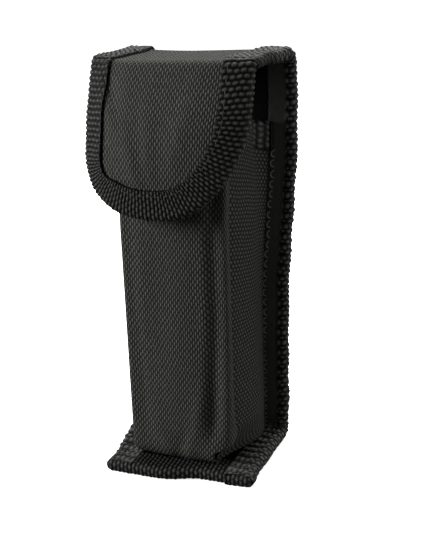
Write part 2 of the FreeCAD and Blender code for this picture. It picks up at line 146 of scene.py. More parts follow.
strip = dict(
    # side line as (depth, height, corner radius), from the base's front edge round to the flap's end
    sideLine=[(45.5, 0, 0), (0, 0, 5.5), (0, 150, 5), (39.6, 150, 4.0), (51.9, 124.5, 62), (52.4, 98.5, 0)],
    step=0.25,
    # half width at a distance along the line
    widths=[(0, 27.6), (45, 27.7), (100, 28.4), (120, 29.3), (140, 30.8), (160, 32.0), (186, 32.2),
            (198, 31.5), (212, 30.2), (236, 29.6)],
    # how far the edges lie back from the middle, at a distance along the line
    sweep=[(0, 0.0), (206, 0.0), (216, 1.5), (224, 3.8), (232, 4.8), (242, 5.8), (256, 7.5), (300, 7.9)],
    sweepPower=3.0, flapHalf=30.0, baseBulge=4.4, ripple=0.18,
    # each layer's two faces, counted inward, then how thick the bound edge is on the seams and on the flap
    shell=(0.75, 1.45), board=(1.65, 2.3), lining=(2.35, 2.75),
    seamFace=4.0, plainFace=3.4,
    # soft folds in the flap's cloth: x, distance, slant, width, length, rise
    creases=[(-10.0, 262, 0.25, 2.8, 12, 0.75), (-17.5, 253, 0.5, 3.0, 9, 0.75),
             (-3.5, 258, 0.1, 2.8, 14, 0.5), (-19.5, 241, 0.5, 2.6, 7, -0.6),
             (8.0, 255, -0.2, 3.6, 14, 0.5), (-13.5, 237, 0.3, 3.2, 6, 0.45)],
)
lineS, linePts = roundedLine(strip["sideLine"], strip["step"])
lineEnd = lineS[-1]


def alongAt(depth, height):
    # distance along the strip of its point nearest to this one
    return float(lineS[np.argmin(np.hypot(linePts[:, 0] - depth, linePts[:, 1] - height))])


baseEnd = alongAt(5, 0)
topStart = alongAt(5, 150)
topMiddle = alongAt(20, 150)
foldStart = alongAt(36, 150)
print("strip is", round(float(lineEnd), 1), "mm long; base, top, fold at",
      [round(v, 1) for v in (baseEnd, topStart, foldStart)])

bends = dict(        # how much, over what part of the width, and where along the strip it comes and goes
    baseCurl=dict(rise=7.5, across=(12, 30), comes=(2, 22), goes=(34, 60)),        # left edge turns up
    backCurl=dict(rise=-1.6, across=(14, 31), comes=(95, 150), goes=(180, 194)),        # right edge turns out
    topTilt=dict(rise=0.3, across=(-5, 25),
                 comes=(topStart - 6, topStart + 4), goes=(topStart + 8, foldStart)),
    topSag=dict(rise=0.9, middle=-1.0, half=28.0, across=(2, 26),
                comes=(topStart - 8, topStart + 5), goes=(foldStart - 12, foldStart + 3)),
)


def creaseRise(creases, x, along):
    # what a list of soft folds adds at each point
    total = 0.0
    for x0, middle, slant, wide, tall, rise in creases:
        off = (x - x0 - slant * (along - middle)) / wide
        total = total + rise * np.exp(-off ** 2 - ((along - middle) / tall) ** 2)
    return total


def sideways(x, s):
    # how far the cloth lies inward of the side line
    sagSpan = bends["topSag"]["half"] - np.abs(x - bends["topSag"]["middle"])
    h = strip["ripple"] * np.sin(0.21 * s + 0.7) * np.sin(0.13 * x + 0.4)
    for name, span in (("baseCurl", -x), ("backCurl", x), ("topTilt", -x), ("topSag", sagSpan)):
        bend = bends[name]
        present = smooth(s, *bend["comes"]) * (1 - smooth(s, *bend["goes"]))
        h = h + bend["rise"] * smooth(span, *bend["across"]) * present
    return h - creaseRise(strip["creases"], x, s)


def onStripBare(x, s):
    # a point on the strip's outer face, x across and s along
    d = np.interp(s, lineS, linePts[:, 0]) - np.minimum(s, 0)
    z = np.interp(s, lineS, linePts[:, 1])
    near = 0.6
    td, tz = directionAt(lineS, linePts, np.clip(s, near, lineEnd - near), near)
    h = sideways(x, s)
    table = np.array(strip["sweep"])
    sweep = np.interp(s, table[:, 0], table[:, 1]) * (np.abs(x) / strip["flapHalf"]) ** strip["sweepPower"]
    return np.stack([x, backY - (d + tz * h - sweep), z - td * h], -1)


def onStrip(x, s, n):
    # the same, n inward of the outer face
    x, s, n = np.broadcast_arrays(np.asarray(x, float), np.asarray(s, float), np.asarray(n, float))
    near = 0.5
    dx = onStripBare(x + near, s) - onStripBare(x - near, s)
    ds = onStripBare(x, np.minimum(s + near, lineEnd)) - onStripBare(x, s - near)
    return onStripBare(x, s) + unit(np.cross(dx, ds)) * n[..., None]


def frontEdge(x):
    # the base's front edge bulges forward over its left half
    return -strip["baseBulge"] * smooth(-x, -10, 8)


def onBack(x, s, n):
    # as the strip, with its first rows drawn out to the base's bulging front edge
    return onStrip(x, s + frontEdge(x) * (1 - smooth(s, 0, 14)), n)


def halfWidth(s):
    table = np.array(strip["widths"])
    return np.interp(s, table[:, 0], table[:, 1])


def sAtHeight(height):
    # distance along the strip, on the flap, at this height
    front = lineS > foldStart
    return float(np.interp(-height, -linePts[front][:, 1], lineS[front]))


flapEdge = dict(
    foldRun=2.0, step=0.22,
    # height where each side starts to curve, half of the flat at the bottom, and how full the curve is
    right=dict(start=134.0, flat=0.0, power=1.02), left=dict(start=118.0, flat=3.0, power=0.92),
)


def flapSide(start, flat, power):
    # one side of the flap from the fold to the middle of its lower edge, as (half width, distance)
    half, top, begin = strip["flapHalf"], foldStart + flapEdge["foldRun"], sAtHeight(start)
    pts = []
    for k in np.linspace(0, 1, 12):
        s = top + (begin - top) * k
        pts.append((halfWidth(s) + (half - halfWidth(s)) * k, s))
    for t in np.linspace(0, math.pi / 2, 60)[1:]:
        x = flat + (half - flat) * math.cos(t) ** power
        pts.append((x, begin + (lineEnd - begin) * math.sin(t) ** power))
    return pts


def flapOutline():
    # from the middle of the top on the right, round the flap, to the left
    top = [(halfWidth(s), s) for s in np.arange(topMiddle, foldStart + flapEdge["foldRun"], 1.0)]
    right, left = top + flapSide(**flapEdge["right"])[1:], top + flapSide(**flapEdge["left"])
    return smoothLine(np.array(right + [(-x, s) for x, s in reversed(left)], float), flapEdge["step"])


def outwards(obj):
    # faces look outward, judged by the signed volume
    me = obj.data
    me.validate()
    me.update()
    co = np.empty(len(me.vertices) * 3)
    me.vertices.foreach_get("co", co)
    co = co.reshape(-1, 3)
    co = co - co.mean(0)
    me.calc_loop_triangles()
    tri = np.empty(len(me.loop_triangles) * 3, np.int32)
    me.loop_triangles.foreach_get("vertices", tri)
    t = co[tri.reshape(-1, 3)]
    if np.einsum("ij,ij->i", t[:, 0], np.cross(t[:, 1], t[:, 2])).sum() < 0:
        me.flip_normals()
    return obj


def ringMesh(name, rings, uv, material, pressed=None):
    # closed loops of points, one after another, with both ends closed across
    rows, cols = rings.shape[:2]
    verts = (rings.reshape(-1, 3) * mm).tolist()
    r, c = np.meshgrid(np.arange(rows - 1), np.arange(cols), indexing="ij")
    nxt = (c + 1) % cols
    quads = np.stack([r * cols + c, r * cols + nxt, (r + 1) * cols + nxt, (r + 1) * cols + c], -1)
    faces = quads.reshape(-1, 4).tolist()
    for row, flip in ((0, True), (rows - 1, False)):
        for k in range(cols // 2 - 1):
            q = [row * cols + v for v in (k, k + 1, cols - 2 - k, cols - 1 - k)]
            faces.append(q[::-1] if flip else q)
    mesh = bpy.data.meshes.new(name)
    mesh.from_pydata(verts, [], faces)
    layer = mesh.uv_layers.new(name="cloth")
    loops = np.empty(len(mesh.loops), np.int32)
    mesh.loops.foreach_get("vertex_index", loops)
    layer.data.foreach_set("uv", uv.reshape(-1, 2)[loops].astype(np.float32).ravel())
    if pressed is not None:
        share = mesh.attributes.new("pressed", "FLOAT", "POINT")
        share.data.foreach_set("value", pressed.astype(np.float32).ravel())
    mesh.shade_smooth()
    obj = bpy.data.objects.new(name, mesh)
    bpy.context.scene.collection.objects.link(obj)
    obj.data.materials.append(material)
    return outwards(obj)


def slab(name, place, across, along, near, far, material, uvTurn=False, rim=0.25):
    # a thin sheet: place(u, v, n) gives a point; u runs across and v along
    v = np.asarray(along, float)
    u = across(v) if callable(across) else np.broadcast_to(np.asarray(across, float), (len(v), len(across)))
    cols = u.shape[1]
    edge = min(rim, (far - near) / 2)
    outerN = np.full(cols, near, float)
    innerN = np.full(cols, far, float)
    outerN[[0, -1]] += edge
    innerN[[0, -1]] -= edge
    loopU = np.concatenate([u, u[:, ::-1]], 1)
    loopN = np.concatenate([outerN, innerN[::-1]])[None, :].repeat(len(v), 0)
    loopV = v[:, None].repeat(2 * cols, 1)
    uv = np.stack([loopV, loopU] if uvTurn else [loopU, loopV], -1)
    return ringMesh(name, place(loopU, loopV, loopN), uv, material)


tapeLook = dict(
    leg=10.0, acrossStep=0.3,
    ribHeight=0.55, ribPower=0.7, slant=0.05, wander=0.05,
    bead=2.1, beadPower=0.6, beadFloor=0.22, uneven=0.3,
    innerFlat=(15.8, 17.4), pressedShare=0.85,        # the inner leg lies flat where a seam presses it
)


def tapeProfile(thick, leg):
    # folded tape in section: outer leg, round edge, inner leg, as rows of
    # (inset from the edge, depth, and the direction in which a rib stands out)
    r, step = thick / 2, tapeLook["acrossStep"]
    rows = [(leg, 0.7, 0.6, 0), (leg, 0.15, 0.3, -0.7)]
    rows += [(q, 0.0, 0.0, -1.0) for q in np.arange(leg - 0.25, r, -step)]
    for angle in np.linspace(-math.pi / 2, math.pi / 2, 16):
        rows.append((r - r * math.cos(angle), r + r * math.sin(angle), -math.cos(angle), math.sin(angle)))
    rows += [(q, thick, 0.0, 1.0) for q in np.arange(r + step, leg - 0.2, step)]
    rows += [(leg, thick - 0.15, 0.3, 0.7), (leg, thick - 0.7, 0.6, 0)]
    if len(rows) % 2:        # the two ends close across, so the count is even
        rows.append((leg - 0.05, thick - 0.72, 0, 0))
    return np.array(rows, float).T


def tape(name, place, along, thick, material, pitch,
         leg=tapeLook["leg"], height=tapeLook["ribHeight"], seamed=None):
    # place(row, inset, depth) gives points; ribs stand across the tape as rows of beads
    q, n, outQ, outN = tapeProfile(thick, leg)
    p = np.concatenate([[0], np.cumsum(np.hypot(np.diff(q), np.diff(n)))])
    pitches = pitch(along) if callable(pitch) else np.full(len(along), float(pitch))
    turns = np.concatenate([[0], np.cumsum(np.diff(along) / pitches[1:])])
    turn, across = np.meshgrid(turns, p, indexing="ij")
    turn = (turn + tapeLook["slant"] * (across - p.mean()) / 2
            + tapeLook["wander"] * np.sin(across * 1.3 + turn * 0.37))
    row = np.floor(turn)
    rib = np.abs(np.sin(math.pi * turn)) ** tapeLook["ribPower"]
    bead = np.abs(np.cos(math.pi * (across / tapeLook["bead"] + 0.5 * (row % 2)))) ** tapeLook["beadPower"]
    bead = tapeLook["beadFloor"] + (1 - tapeLook["beadFloor"]) * bead
    chance = np.sin(row * 12.9898 + np.floor(across / tapeLook["bead"]) * 4.1) ** 2        # one for each bead
    uneven = 1 + tapeLook["uneven"] * (chance - 0.5)
    pressed = smooth(across, *tapeLook["innerFlat"]) * (0 if seamed is None else seamed[:, None])
    size = height * rib * bead * uneven * (1 - tapeLook["pressedShare"] * pressed)
    size[:, (outQ == 0) & (outN == 0)] = 0
    rows = np.arange(len(along))[:, None]
    pts = place(rows, q[None] + outQ[None] * size, n[None] + outN[None] * size)
    return ringMesh(name, pts, np.stack([turn, across], -1), material, pressed)


def newFinish(name):
    m = bpy.data.materials.new(name)
    m.use_nodes = True
    tree = m.node_tree
    return m, tree, tree.nodes["Principled BSDF"]


def mathNode(tree, kind, a, b=None, clamp=False):
    node = tree.nodes.new("ShaderNodeMath")
    node.operation = kind
    node.use_clamp = clamp
    for k, value in enumerate((a, b)):
        if value is None:
            continue
        if isinstance(value, (int, float)):
            node.inputs[k].default_value = value
        else:
            tree.links.new(value, node.inputs[k])
    return node.outputs[0]


def uvParts(tree):
    uv = tree.nodes.new("ShaderNodeUVMap")
    uv.uv_map = "cloth"
    split = tree.nodes.new("ShaderNodeSeparateXYZ")
    tree.links.new(uv.outputs[0], split.inputs[0])
    return uv.outputs[0], split.outputs[0], split.outputs[1]


def mixColours(tree, amount, dark, light):
    mix = tree.nodes.new("ShaderNodeMix")
    mix.data_type = "RGBA"
    tree.links.new(amount, mix.inputs["Factor"])
    mix.inputs[6].default_value = (*dark, 1)
    mix.inputs[7].default_value = (*light, 1)
    return mix.outputs[2]


def bumpFrom(tree, height, shader, strength, distance):
    bump = tree.nodes.new("ShaderNodeBump")
    bump.inputs["Strength"].default_value = strength
    bump.inputs["Distance"].default_value = distance * mm
    tree.links.new(height, bump.inputs["Height"])
    tree.links.new(bump.outputs[0], shader.inputs["Normal"])


def noise(tree, vector, scale, detail=2.0):
    node = tree.nodes.new("ShaderNodeTexNoise")
    node.inputs["Scale"].default_value = scale
    node.inputs["Detail"].default_value = detail
    tree.links.new(vector, node.inputs["Vector"])
    return node.outputs["Fac"]


weave = dict(across=0.79, down=1.18, gap=0.8, swing=0.52, dark=(0.004, 0.004, 0.0036),
             light=(0.092, 0.095, 0.083), bump=0.8, rough=0.65)
yarn = dict(driftScale=0.09, drift=1.2, fibreScale=0.55, gloss=0.05, depth=0.35)


def wovenCloth(name, across, down, dark, light, bump, rough, gap=1.3, swing=0.62):
    # columns of raised yarn with dark lines of painted shade between them, each column half a step out from
    # the next
    m, tree, shader = newFinish(name)
    calc = partial(mathNode, tree)
    uv, u, v = uvParts(tree)
    drift = calc("MULTIPLY", calc("SUBTRACT", noise(tree, uv, yarn["driftScale"]), 0.5), yarn["drift"])
    uu = calc("DIVIDE", calc("ADD", u, drift), across)
    vv = calc("DIVIDE", calc("ADD", v, drift), down)
    column = calc("POWER", calc("ABSOLUTE", calc("SINE", calc("MULTIPLY", uu, math.pi))), gap)
    step = calc("MULTIPLY", calc("ADD", vv, calc("FLOOR", uu)), math.pi)
    bar = calc("ADD", calc("MULTIPLY", calc("COSINE", step), swing), 1.1 - swing, clamp=True)
    height = calc("MULTIPLY", column, calc("ADD", calc("MULTIPLY", bar, 0.9), 0.1))
    fibre = calc("ADD", calc("MULTIPLY", noise(tree, uv, yarn["fibreScale"], 3.0), 1.1), 0.45)
    # painted shade: the colour is dark where the yarn sinks between columns and bars; the fibre noise adds
    # uneven yarn tone
    tone = calc("MULTIPLY", height, fibre, clamp=True)
    tree.links.new(mixColours(tree, tone, dark, light), shader.inputs["Base Color"])
    bumpFrom(tree, height, shader, bump, yarn["depth"])
    shader.inputs["Roughness"].default_value = rough
    shader.inputs["Specular IOR Level"].default_value = yarn["gloss"]
    return m


ribShade = dict(power=2.4, beadPower=1.4, seamShadeTone=0.45, edge=0.45, edgeShadowFade=0.6,
                fibreScale=2.2, bump=0.4, depth=0.12, gloss=0.1)


def ribbedTape(name, dark, light, rough):
    # the ribs are in the mesh; the colour paints shade in the gaps between them, and a painted shadow along
    # the tape's inner edge beside the cloth
    m, tree, shader = newFinish(name)
    calc = partial(mathNode, tree)
    uv, t, p = uvParts(tree)
    ridge = calc("ABSOLUTE", calc("SINE", calc("MULTIPLY", t, math.pi)))
    odd = calc("MULTIPLY", calc("FLOOR", t), 0.5)
    beadTurn = calc("MULTIPLY", calc("ADD", calc("DIVIDE", p, tapeLook["bead"]), odd), math.pi)
    bead = calc("POWER", calc("ABSOLUTE", calc("COSINE", beadTurn)), ribShade["beadPower"])
    bead = calc("ADD", calc("MULTIPLY", bead, 0.92), 0.08)
    # painted shade: the colour follows the rib height, dark in the gaps between ribs and beads
    height = calc("MULTIPLY", calc("POWER", ridge, ribShade["power"]), bead)
    onSeam = tree.nodes.new("ShaderNodeAttribute")
    onSeam.attribute_name = "pressed"
    pressed = onSeam.outputs["Fac"]
    # where a seam presses the inner leg flat, one even tone darker than the rib crests stands in as painted
    # shade
    height = calc("ADD", calc("MULTIPLY", height, calc("SUBTRACT", 1.0, pressed)),
                  calc("MULTIPLY", pressed, ribShade["seamShadeTone"]))
    # painted shadow: black on the tape's end wall beside the cloth, fading out over the next part of its face
    edge = calc("DIVIDE", calc("SUBTRACT", p, ribShade["edge"]), ribShade["edgeShadowFade"], clamp=True)
    fibre = noise(tree, uv, ribShade["fibreScale"], 3.0)
    tone = calc("MULTIPLY", calc("MULTIPLY", height, edge),
                calc("ADD", calc("MULTIPLY", fibre, 1.2), 0.4), clamp=True)
    tree.links.new(mixColours(tree, tone, dark, light), shader.inputs["Base Color"])
    bumpFrom(tree, fibre, shader, ribShade["bump"], ribShade["depth"])
    shader.inputs["Roughness"].default_value = rough
    shader.inputs["Specular IOR Level"].default_value = ribShade["gloss"]
    return m


def plainFinish(name, colour, rough, grain, bump, sheen=0.0):
    m, tree, shader = newFinish(name)
    place = tree.nodes.new("ShaderNodeTexCoord").outputs["Object"]
    speckle = noise(tree, place, grain / mm, 3.0)
    dark, light = (tuple(c * share for c in colour) for share in (0.6, 1.4))
    tree.links.new(mixColours(tree, speckle, dark, light), shader.inputs["Base Color"])
    bumpFrom(tree, speckle, shader, bump, 0.15)
    shader.inputs["Roughness"].default_value = rough
    shader.inputs["Sheen Weight"].default_value = sheen
    return m


pouchCloth = wovenCloth("pouchCloth", **weave)
sideCloth = wovenCloth("sideCloth", **{**weave, "across": 1.36, "down": 1.1, "swing": 0.6,
                                       "light": (0.066, 0.067, 0.061)})
liningCloth = wovenCloth("liningCloth", 0.5, 0.6, (0.002, 0.002, 0.002), (0.010, 0.010, 0.0095), 0.3, 0.7)
webbingCloth = wovenCloth("webbingCloth", 1.1, 1.9, (0.002, 0.002, 0.002), (0.03, 0.03, 0.029), 0.7, 0.6)
bindingTape = ribbedTape("bindingTape", (0.0008, 0.0008, 0.0008), (0.098, 0.098, 0.092), 0.55)
# a darker copy of the binding tape, painted shade for the flap, mouth and base-front bindings
paintedShadeTape = ribbedTape("paintedShadeTape", (0.0008, 0.0008, 0.0008), (0.060, 0.060, 0.056), 0.55)
boardPlastic = plainFinish("boardPlastic", (0.05, 0.05, 0.05), 0.6, 0.3, 0.15)
panelFoam = plainFinish("panelFoam", (0.04, 0.04, 0.04), 0.9, 1.5, 0.6)
loopPile = plainFinish("loopPile", (0.02, 0.02, 0.02), 0.95, 2.0, 0.9, 0.4)
hookPlastic = plainFinish("hookPlastic", (0.02, 0.02, 0.02), 0.4, 1.0, 0.2)
blackThread = plainFinish("blackThread", (0.075, 0.075, 0.072), 0.5, 3.0, 0.4)
# a darker copy of the black thread, painted shade for the stitches sunk into the flap's tape
paintedShadeThread = plainFinish("paintedShadeThread", (0.008, 0.008, 0.008), 0.6, 3.0, 0.4)
print("finishes made")


def finishPiece(obj, nodes, body=None, joint=None):
    # the piece, the CAD nodes it stands for, and the body it follows; a piece on a joint only has its
    # placement baked in
    if nodes:
        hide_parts(*nodes)
    if joint == "lid_lift":
        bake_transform(obj)
    elif joint == "flap_unfold":
        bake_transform(obj)
    else:
        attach(obj, body)
    return obj


cloth = dict(step=0.9, columns=57, rearInset=1.0, flapInset=4.0, flapHem=5.0)        # cut edges in the tape
flapS, flapLine = flapOutline()
flapIn = inwardOf(flapLine, (0, (foldStart + lineEnd) / 2))
frontLow = lineEnd - cloth["flapHem"]
rearRows = np.concatenate([np.arange(0.8, topMiddle, cloth["step"]), [topMiddle]])
flapRows = np.concatenate([np.arange(topMiddle, frontLow, cloth["step"]), [frontLow]])


def insetHalf(s, inset, side):
    # half width of the flap's cloth at each row, this far inside its edge
    edge = flapLine + flapIn * inset
    half = len(edge) // 2
    part = edge[:half] if side > 0 else edge[half:][::-1]
    return np.interp(s, np.maximum.accumulate(part[:, 1]), part[:, 0])


def acrossRear(inset, count=cloth["columns"]):
    def at(s):
        return np.linspace(-1, 1, count)[None] * (halfWidth(s) - inset)[:, None]
    return at


def acrossFlap(inset, count=cloth["columns"]):
    def at(s):
        right, left = insetHalf(s, inset, 1), insetHalf(s, inset, -1)
        k = np.linspace(0, 1, count)[None]
        return left[:, None] * (1 - k) + right[:, None] * k
    return at


layerKinds = dict(Cloth=("shell", pouchCloth, "pouch_cloth"), Lining=("lining", liningCloth, "lining_cloth"))
halves = dict(        # the strip's two pieces meet in the middle of the top
    back=dict(place=onBack, across=acrossRear, inset=cloth["rearInset"], rows=rearRows, joint="lid_lift",
              parts=["back_base", "rear_fold"], tapes=["rightBackBinding", "leftBackBinding"]),
    flap=dict(place=onStrip, across=acrossFlap, inset=cloth["flapInset"], rows=flapRows, joint="flap_unfold",
              parts=["top", "front_fold", "flap"], tapes=["flapBinding"]),
)
for kind, (layer, finish, slotName) in layerKinds.items():
    for half, cut in halves.items():
        rows = cut["rows"]
        piece = slab(half + kind, cut["place"], cut["across"](cut["inset"]), rows, *strip[layer], finish)
        finishPiece(piece, [f"{part}_{layer}" for part in cut["parts"]], joint=cut["joint"])
        wide = cut["across"](cut["inset"], 2)(rows)[:, 1]

boards = dict(        # CAD node, from and to along the strip, and the body it rides on
    baseBoard=("base_board", 2.5, baseEnd - 3, "pouch"),
    backBoard=("back_board", baseEnd + 8, topStart - 14, "pouch"),
    topBoard=("top_board", topStart + 6, foldStart - 7, "lid"),
    flapBoard=("flap_board", foldStart + 13, frontLow, "flap"),
)
for boardName, (node, low, high, follows) in boards.items():
    wide = acrossFlap(5.5, 31) if follows == "flap" else acrossRear(3.0, 31)
    finishPiece(slab(boardName, onStrip, wide, np.arange(low, high, 1.2), *strip["board"], boardPlastic),
                [node], body=follows)
print("strip layers made")


def stripTape(name, points, inward, thick, nodes, joint, pitch,
              material=bindingTape, narrow=None, seamed=None):
    # tape along an edge of the strip; points are (x, distance along the strip)
    s, p = points
    share = np.ones(len(s)) if narrow is None else narrow

    def place(i, q, n):
        q = q * share[i]
        return onStrip(p[i, 0] + inward[i, 0] * q, p[i, 1] + inward[i, 1] * q, n)

    piece = tape(name, place, s, thick, material, pitch, seamed=seamed)
    return finishPiece(piece, nodes, joint=joint)


backTape = dict(start=0.6, frontX=28.0, step=0.22, pitch=1.98, wobble=0.16, puckers=0.12, over=-0.1)
for sign, side in ((1, "right"), (-1, "left")):
    start = backTape["start"] + frontEdge(sign * backTape["frontX"])
    rearS = np.arange(start, topMiddle + 1e-6, backTape["step"])
    wobble = backTape["wobble"] * np.sin(rearS * 0.33 + sign) + backTape["puckers"] * np.sin(rearS * 1.65)
    rearLine = np.stack([sign * (halfWidth(rearS) + wobble + backTape["over"]), rearS], 1)
    seamed = smooth(rearS, baseEnd + 1, baseEnd + 8) * (1 - smooth(rearS, topStart, topMiddle))
    stripTape(f"{side}BackBinding", (rearS, rearLine), inwardOf(rearLine, (0, 100)), strip["seamFace"],
              [f"side_binding_{side}", f"rear_fold_binding_{side}"], "lid_lift", backTape["pitch"],
              seamed=seamed)


def flapPitch(s):
    # the ribs crowd together round the flap's end
    return 1.5 + 0.5 * smooth(np.abs(s - s[-1] / 2), 25, 60)


leftShare = 1 - 0.16 * smooth(-flapLine[:, 0], 18, 28) * smooth(flapLine[:, 1], foldStart - 5, foldStart + 8)
stripTape("flapBinding", (flapS, flapLine), flapIn, strip["plainFace"],
          ["flap_binding", "front_fold_binding_left", "front_fold_binding_right",
           "top_binding_left", "top_binding_right"],
          "flap_unfold", flapPitch, material=paintedShadeTape, narrow=leftShare)

baseFront = dict(half=28.2, step=0.2, thick=4.4, middle=1.75, pitch=1.56, ribHeight=0.42,
                 roundEnd=1.6, endInset=1.5, endShare=0.12)        # its ends round off
alongX = np.arange(-baseFront["half"], baseFront["half"] + 1e-6, baseFront["step"])


def onBaseFront(i, q, n):
    x = alongX[i] + 0 * q
    ease = np.sqrt(np.clip((baseFront["half"] - np.abs(x)) / baseFront["roundEnd"], baseFront["endShare"], 1))
    inset = q * ease + baseFront["endInset"] * (1 - ease)
    return onStrip(x, inset + frontEdge(x), baseFront["middle"] + (n - baseFront["thick"] / 2) * ease)


finishPiece(tape("baseFrontBinding", onBaseFront, alongX, baseFront["thick"], paintedShadeTape, baseFront["pitch"],
                 height=baseFront["ribHeight"]),
            ["base_front_binding"], body="pouch")
print("strip binding made")


panel = dict(
    half=18.4, leftOut=0.9, rightOut=1.3, overlap=1.6,
    # front line as (depth, height, corner radius), from the mouth down to the turned-under edge
    frontLine=[(38.2, 134.0, 0), (43.9, 95, 60), (44.2, 6.6, 6.0), (36.5, 3.6, 0)], step=0.3, rowStep=0.8,
    # the crease beside the ridge: place across, how far in it runs near the base, width on each side, depth
    valley=14.5, valleyShift=1.9, valleyInner=2.3, valleyOuter=3.8, valleyDepth=2.4, leftValley=0.4,
    crown=0.35, wave=0.15,
    turnRight=4.2, turnLeft=2.0, turnLow=2.0, turnMouth=1.5,        # radius of the soft turn into the side
    cutStart=15.5, cutHalf=12.8,        # near the base the cloth is cut in, up to this height
    # soft dents: x, height, slant, width, length, rise
    creases=[(7.0, 22, 0.25, 2.8, 15, 0.55), (-6.0, 14, -0.2, 3.0, 9, 0.45), (-11.0, 82, 0.0, 4.5, 20, 0.35),
             (2.0, 60, 0.05, 5.0, 26, 0.3), (1.0, 12, 0.4, 2.5, 9, -0.45), (9.5, 70, 0.0, 2.5, 30, -0.3)],
    shell=(0.0, 0.6), foam=(0.65, 1.8), lining=(1.85, 2.2), foamShare=0.9, liningShare=0.985,
)
frontS, frontPts = roundedLine(panel["frontLine"], panel["step"])


def turnAt(x, z):
    # radius of the soft turn from the front to the side
    onRight = np.asarray(x) > 0
    r = np.where(onRight, panel["turnRight"] + panel["turnLow"] * smooth(-z, -32, -10), panel["turnLeft"])
    return r + (panel["turnMouth"] - r) * smooth(z, 104, 126)


def frontAt(x, v, n):
    # a point of the front panel: x across it, v down from the mouth, n inward
    x, v, n = np.broadcast_arrays(x, v, n)
    d, z = (np.interp(v, frontS, frontPts[:, k]) for k in (0, 1))
    td, tz = directionAt(frontS, frontPts, v, 0.8)
    a = np.abs(x)
    valley = panel["valley"] - panel["valleyShift"] * smooth(z, 70, 15)
    deep = np.where(x > 0, panel["valleyDepth"], panel["leftValley"])
    wide = np.where(a > valley, panel["valleyOuter"], panel["valleyInner"])
    pinch = smooth(z, 8, 24) * (1 - 0.6 * smooth(z, 112, 130))
    dip = deep * pinch * np.exp(-((a - valley) / wide) ** 2) - creaseRise(panel["creases"], x, z)
    dip = dip - panel["crown"] * smooth(10 - a, -4, 10)
    dip = dip + panel["wave"] * np.sin(z * 0.11 + 1) * smooth(12 - a, 0, 8)
    r = turnAt(x, z)        # past the ridge the cloth turns back along the side
    flatHalf = panel["half"] - r
    angle = np.clip((a - flatHalf) / r, 0, math.pi / 2)
    past = np.maximum(a - flatHalf - r * math.pi / 2, 0)
    reach = np.minimum(a, flatHalf) + (r - n) * np.sin(angle)
    reach = reach + np.where(x < 0, panel["leftOut"], panel["rightOut"]) * smooth(a, 8, 18)
    over = np.where(angle > 0, r - (r - n) * np.cos(angle) + past, n) + dip
    return np.stack([np.sign(x) * reach, backY - (d + over * tz), z - over * td], -1)


def acrossFront(v, share=1.0):
    # the panel's cut width at each row, round its two turns
    z = np.interp(v, frontS, frontPts[:, 1])
    fullLeft, fullRight = (panel["half"] + panel["overlap"] + turnAt(side, z) * (math.pi / 2 - 1)
                           for side in (-1, 1))
    cut, start = panel["cutHalf"], panel["cutStart"]
    left = cut + (fullLeft - cut) * smooth(z, 2.0, start) ** 0.7
    right = cut + (fullRight - cut) * smooth(z, start - 5.5, start)
    k = np.linspace(-1, 1, 121)[None]
    return np.where(k > 0, right[:, None], left[:, None]) * k * share


frontRows = np.concatenate([np.arange(0.5, frontS[-1], panel["rowStep"]), [frontS[-1]]])
frontCloth = slab("frontCloth", frontAt, acrossFront, frontRows, *panel["shell"], pouchCloth, rim=0.3)
frontFoam = slab("frontFoam", frontAt, partial(acrossFront, share=panel["foamShare"]), frontRows[4:-14],
                 *panel["foam"], panelFoam)
frontLining = slab("frontLining", frontAt, partial(acrossFront, share=panel["liningShare"]), frontRows,
                   *panel["lining"], liningCloth)
finishPiece(frontCloth, ["front_shell"], body="pouch")
finishPiece(frontFoam, ["front_foam"], body="pouch")
finishPiece(frontLining, ["front_lining"], body="pouch")
frontWide = float(np.ptp(acrossFront(frontRows), axis=1).max())

gusset = dict(
    cut=(38.0, 119.0), tall=120.0, rear=3.0, ridge=44.0, shell=(0.0, 0.6), lining=(0.65, 1.0),
    hemFront=5.4, hemRear=4.4, mouthRear=121.8, mouthFront=132.0, mouthDepth=38.5,        # heights
    seamInset=9.0, flareDepth=9.0, flareShift=3.0,        # it spreads to the tape near the back
    puff=2.1, tuck=0.3, gap=0.3, bowIn=6.4, bowFrom=5.0, bowTop=19.0, bowReach=0.95,        # its foot bows in
)


def mouthHeight(d):
    # the mouth rises from the back to the front
    rise = (gusset["mouthFront"] - gusset["mouthRear"]) / gusset["mouthDepth"]
    return gusset["mouthRear"] + rise * d


def sideFlare(d, z):
    # how far the gusset spreads towards the tape as it nears the back
    backRadius = strip["sideLine"][1][2]
    spread = halfWidth(z + baseEnd - backRadius + gusset["flareShift"]) - gusset["seamInset"] - panel["half"]
    return spread * (1 - smooth(d, gusset["rear"], gusset["rear"] + gusset["flareDepth"]))


def gussetAt(sign):
    def place(u, v, n):
        # u is depth from the seam to the ridge, v is height from the hem to the mouth
        u, v, n = np.broadcast_arrays(u, v, n)
        hem = gusset["hemRear"] + (gusset["hemFront"] - gusset["hemRear"]) * smooth(u, 6, 44)
        z = hem + (mouthHeight(u) - hem) * v / gusset["tall"]
        foot = 1 - smooth(z, gusset["bowFrom"], gusset["bowTop"])        # it closes in under the ridge
        turn = turnAt(sign, z)
        reach = np.interp(z, frontPts[::-1, 1], frontPts[::-1, 0]) - turn - gusset["gap"]
        reach = reach + gusset["bowReach"] * turn * foot
        k = (u - gusset["rear"]) / (gusset["ridge"] - gusset["rear"])
        d = gusset["rear"] + (reach - gusset["rear"]) * k
        puff = gusset["puff"] * np.sin(math.pi * k) * (1 - 0.7 * smooth(z, 92, 118))
        puff = puff * (1 + 0.25 * np.sin(z * 0.07 + 0.8))
        tuck = gusset["tuck"] * smooth(k, 0.9, 0.97) + gusset["bowIn"] * foot * smooth(k, 0.2, 0.95)
        out = panel["leftOut"] if sign < 0 else panel["rightOut"] * smooth(k, 0, 0.5)
        return np.stack([sign * (panel["half"] - n + puff - tuck + sideFlare(d, z) + out), backY - d, z], -1)
    return place


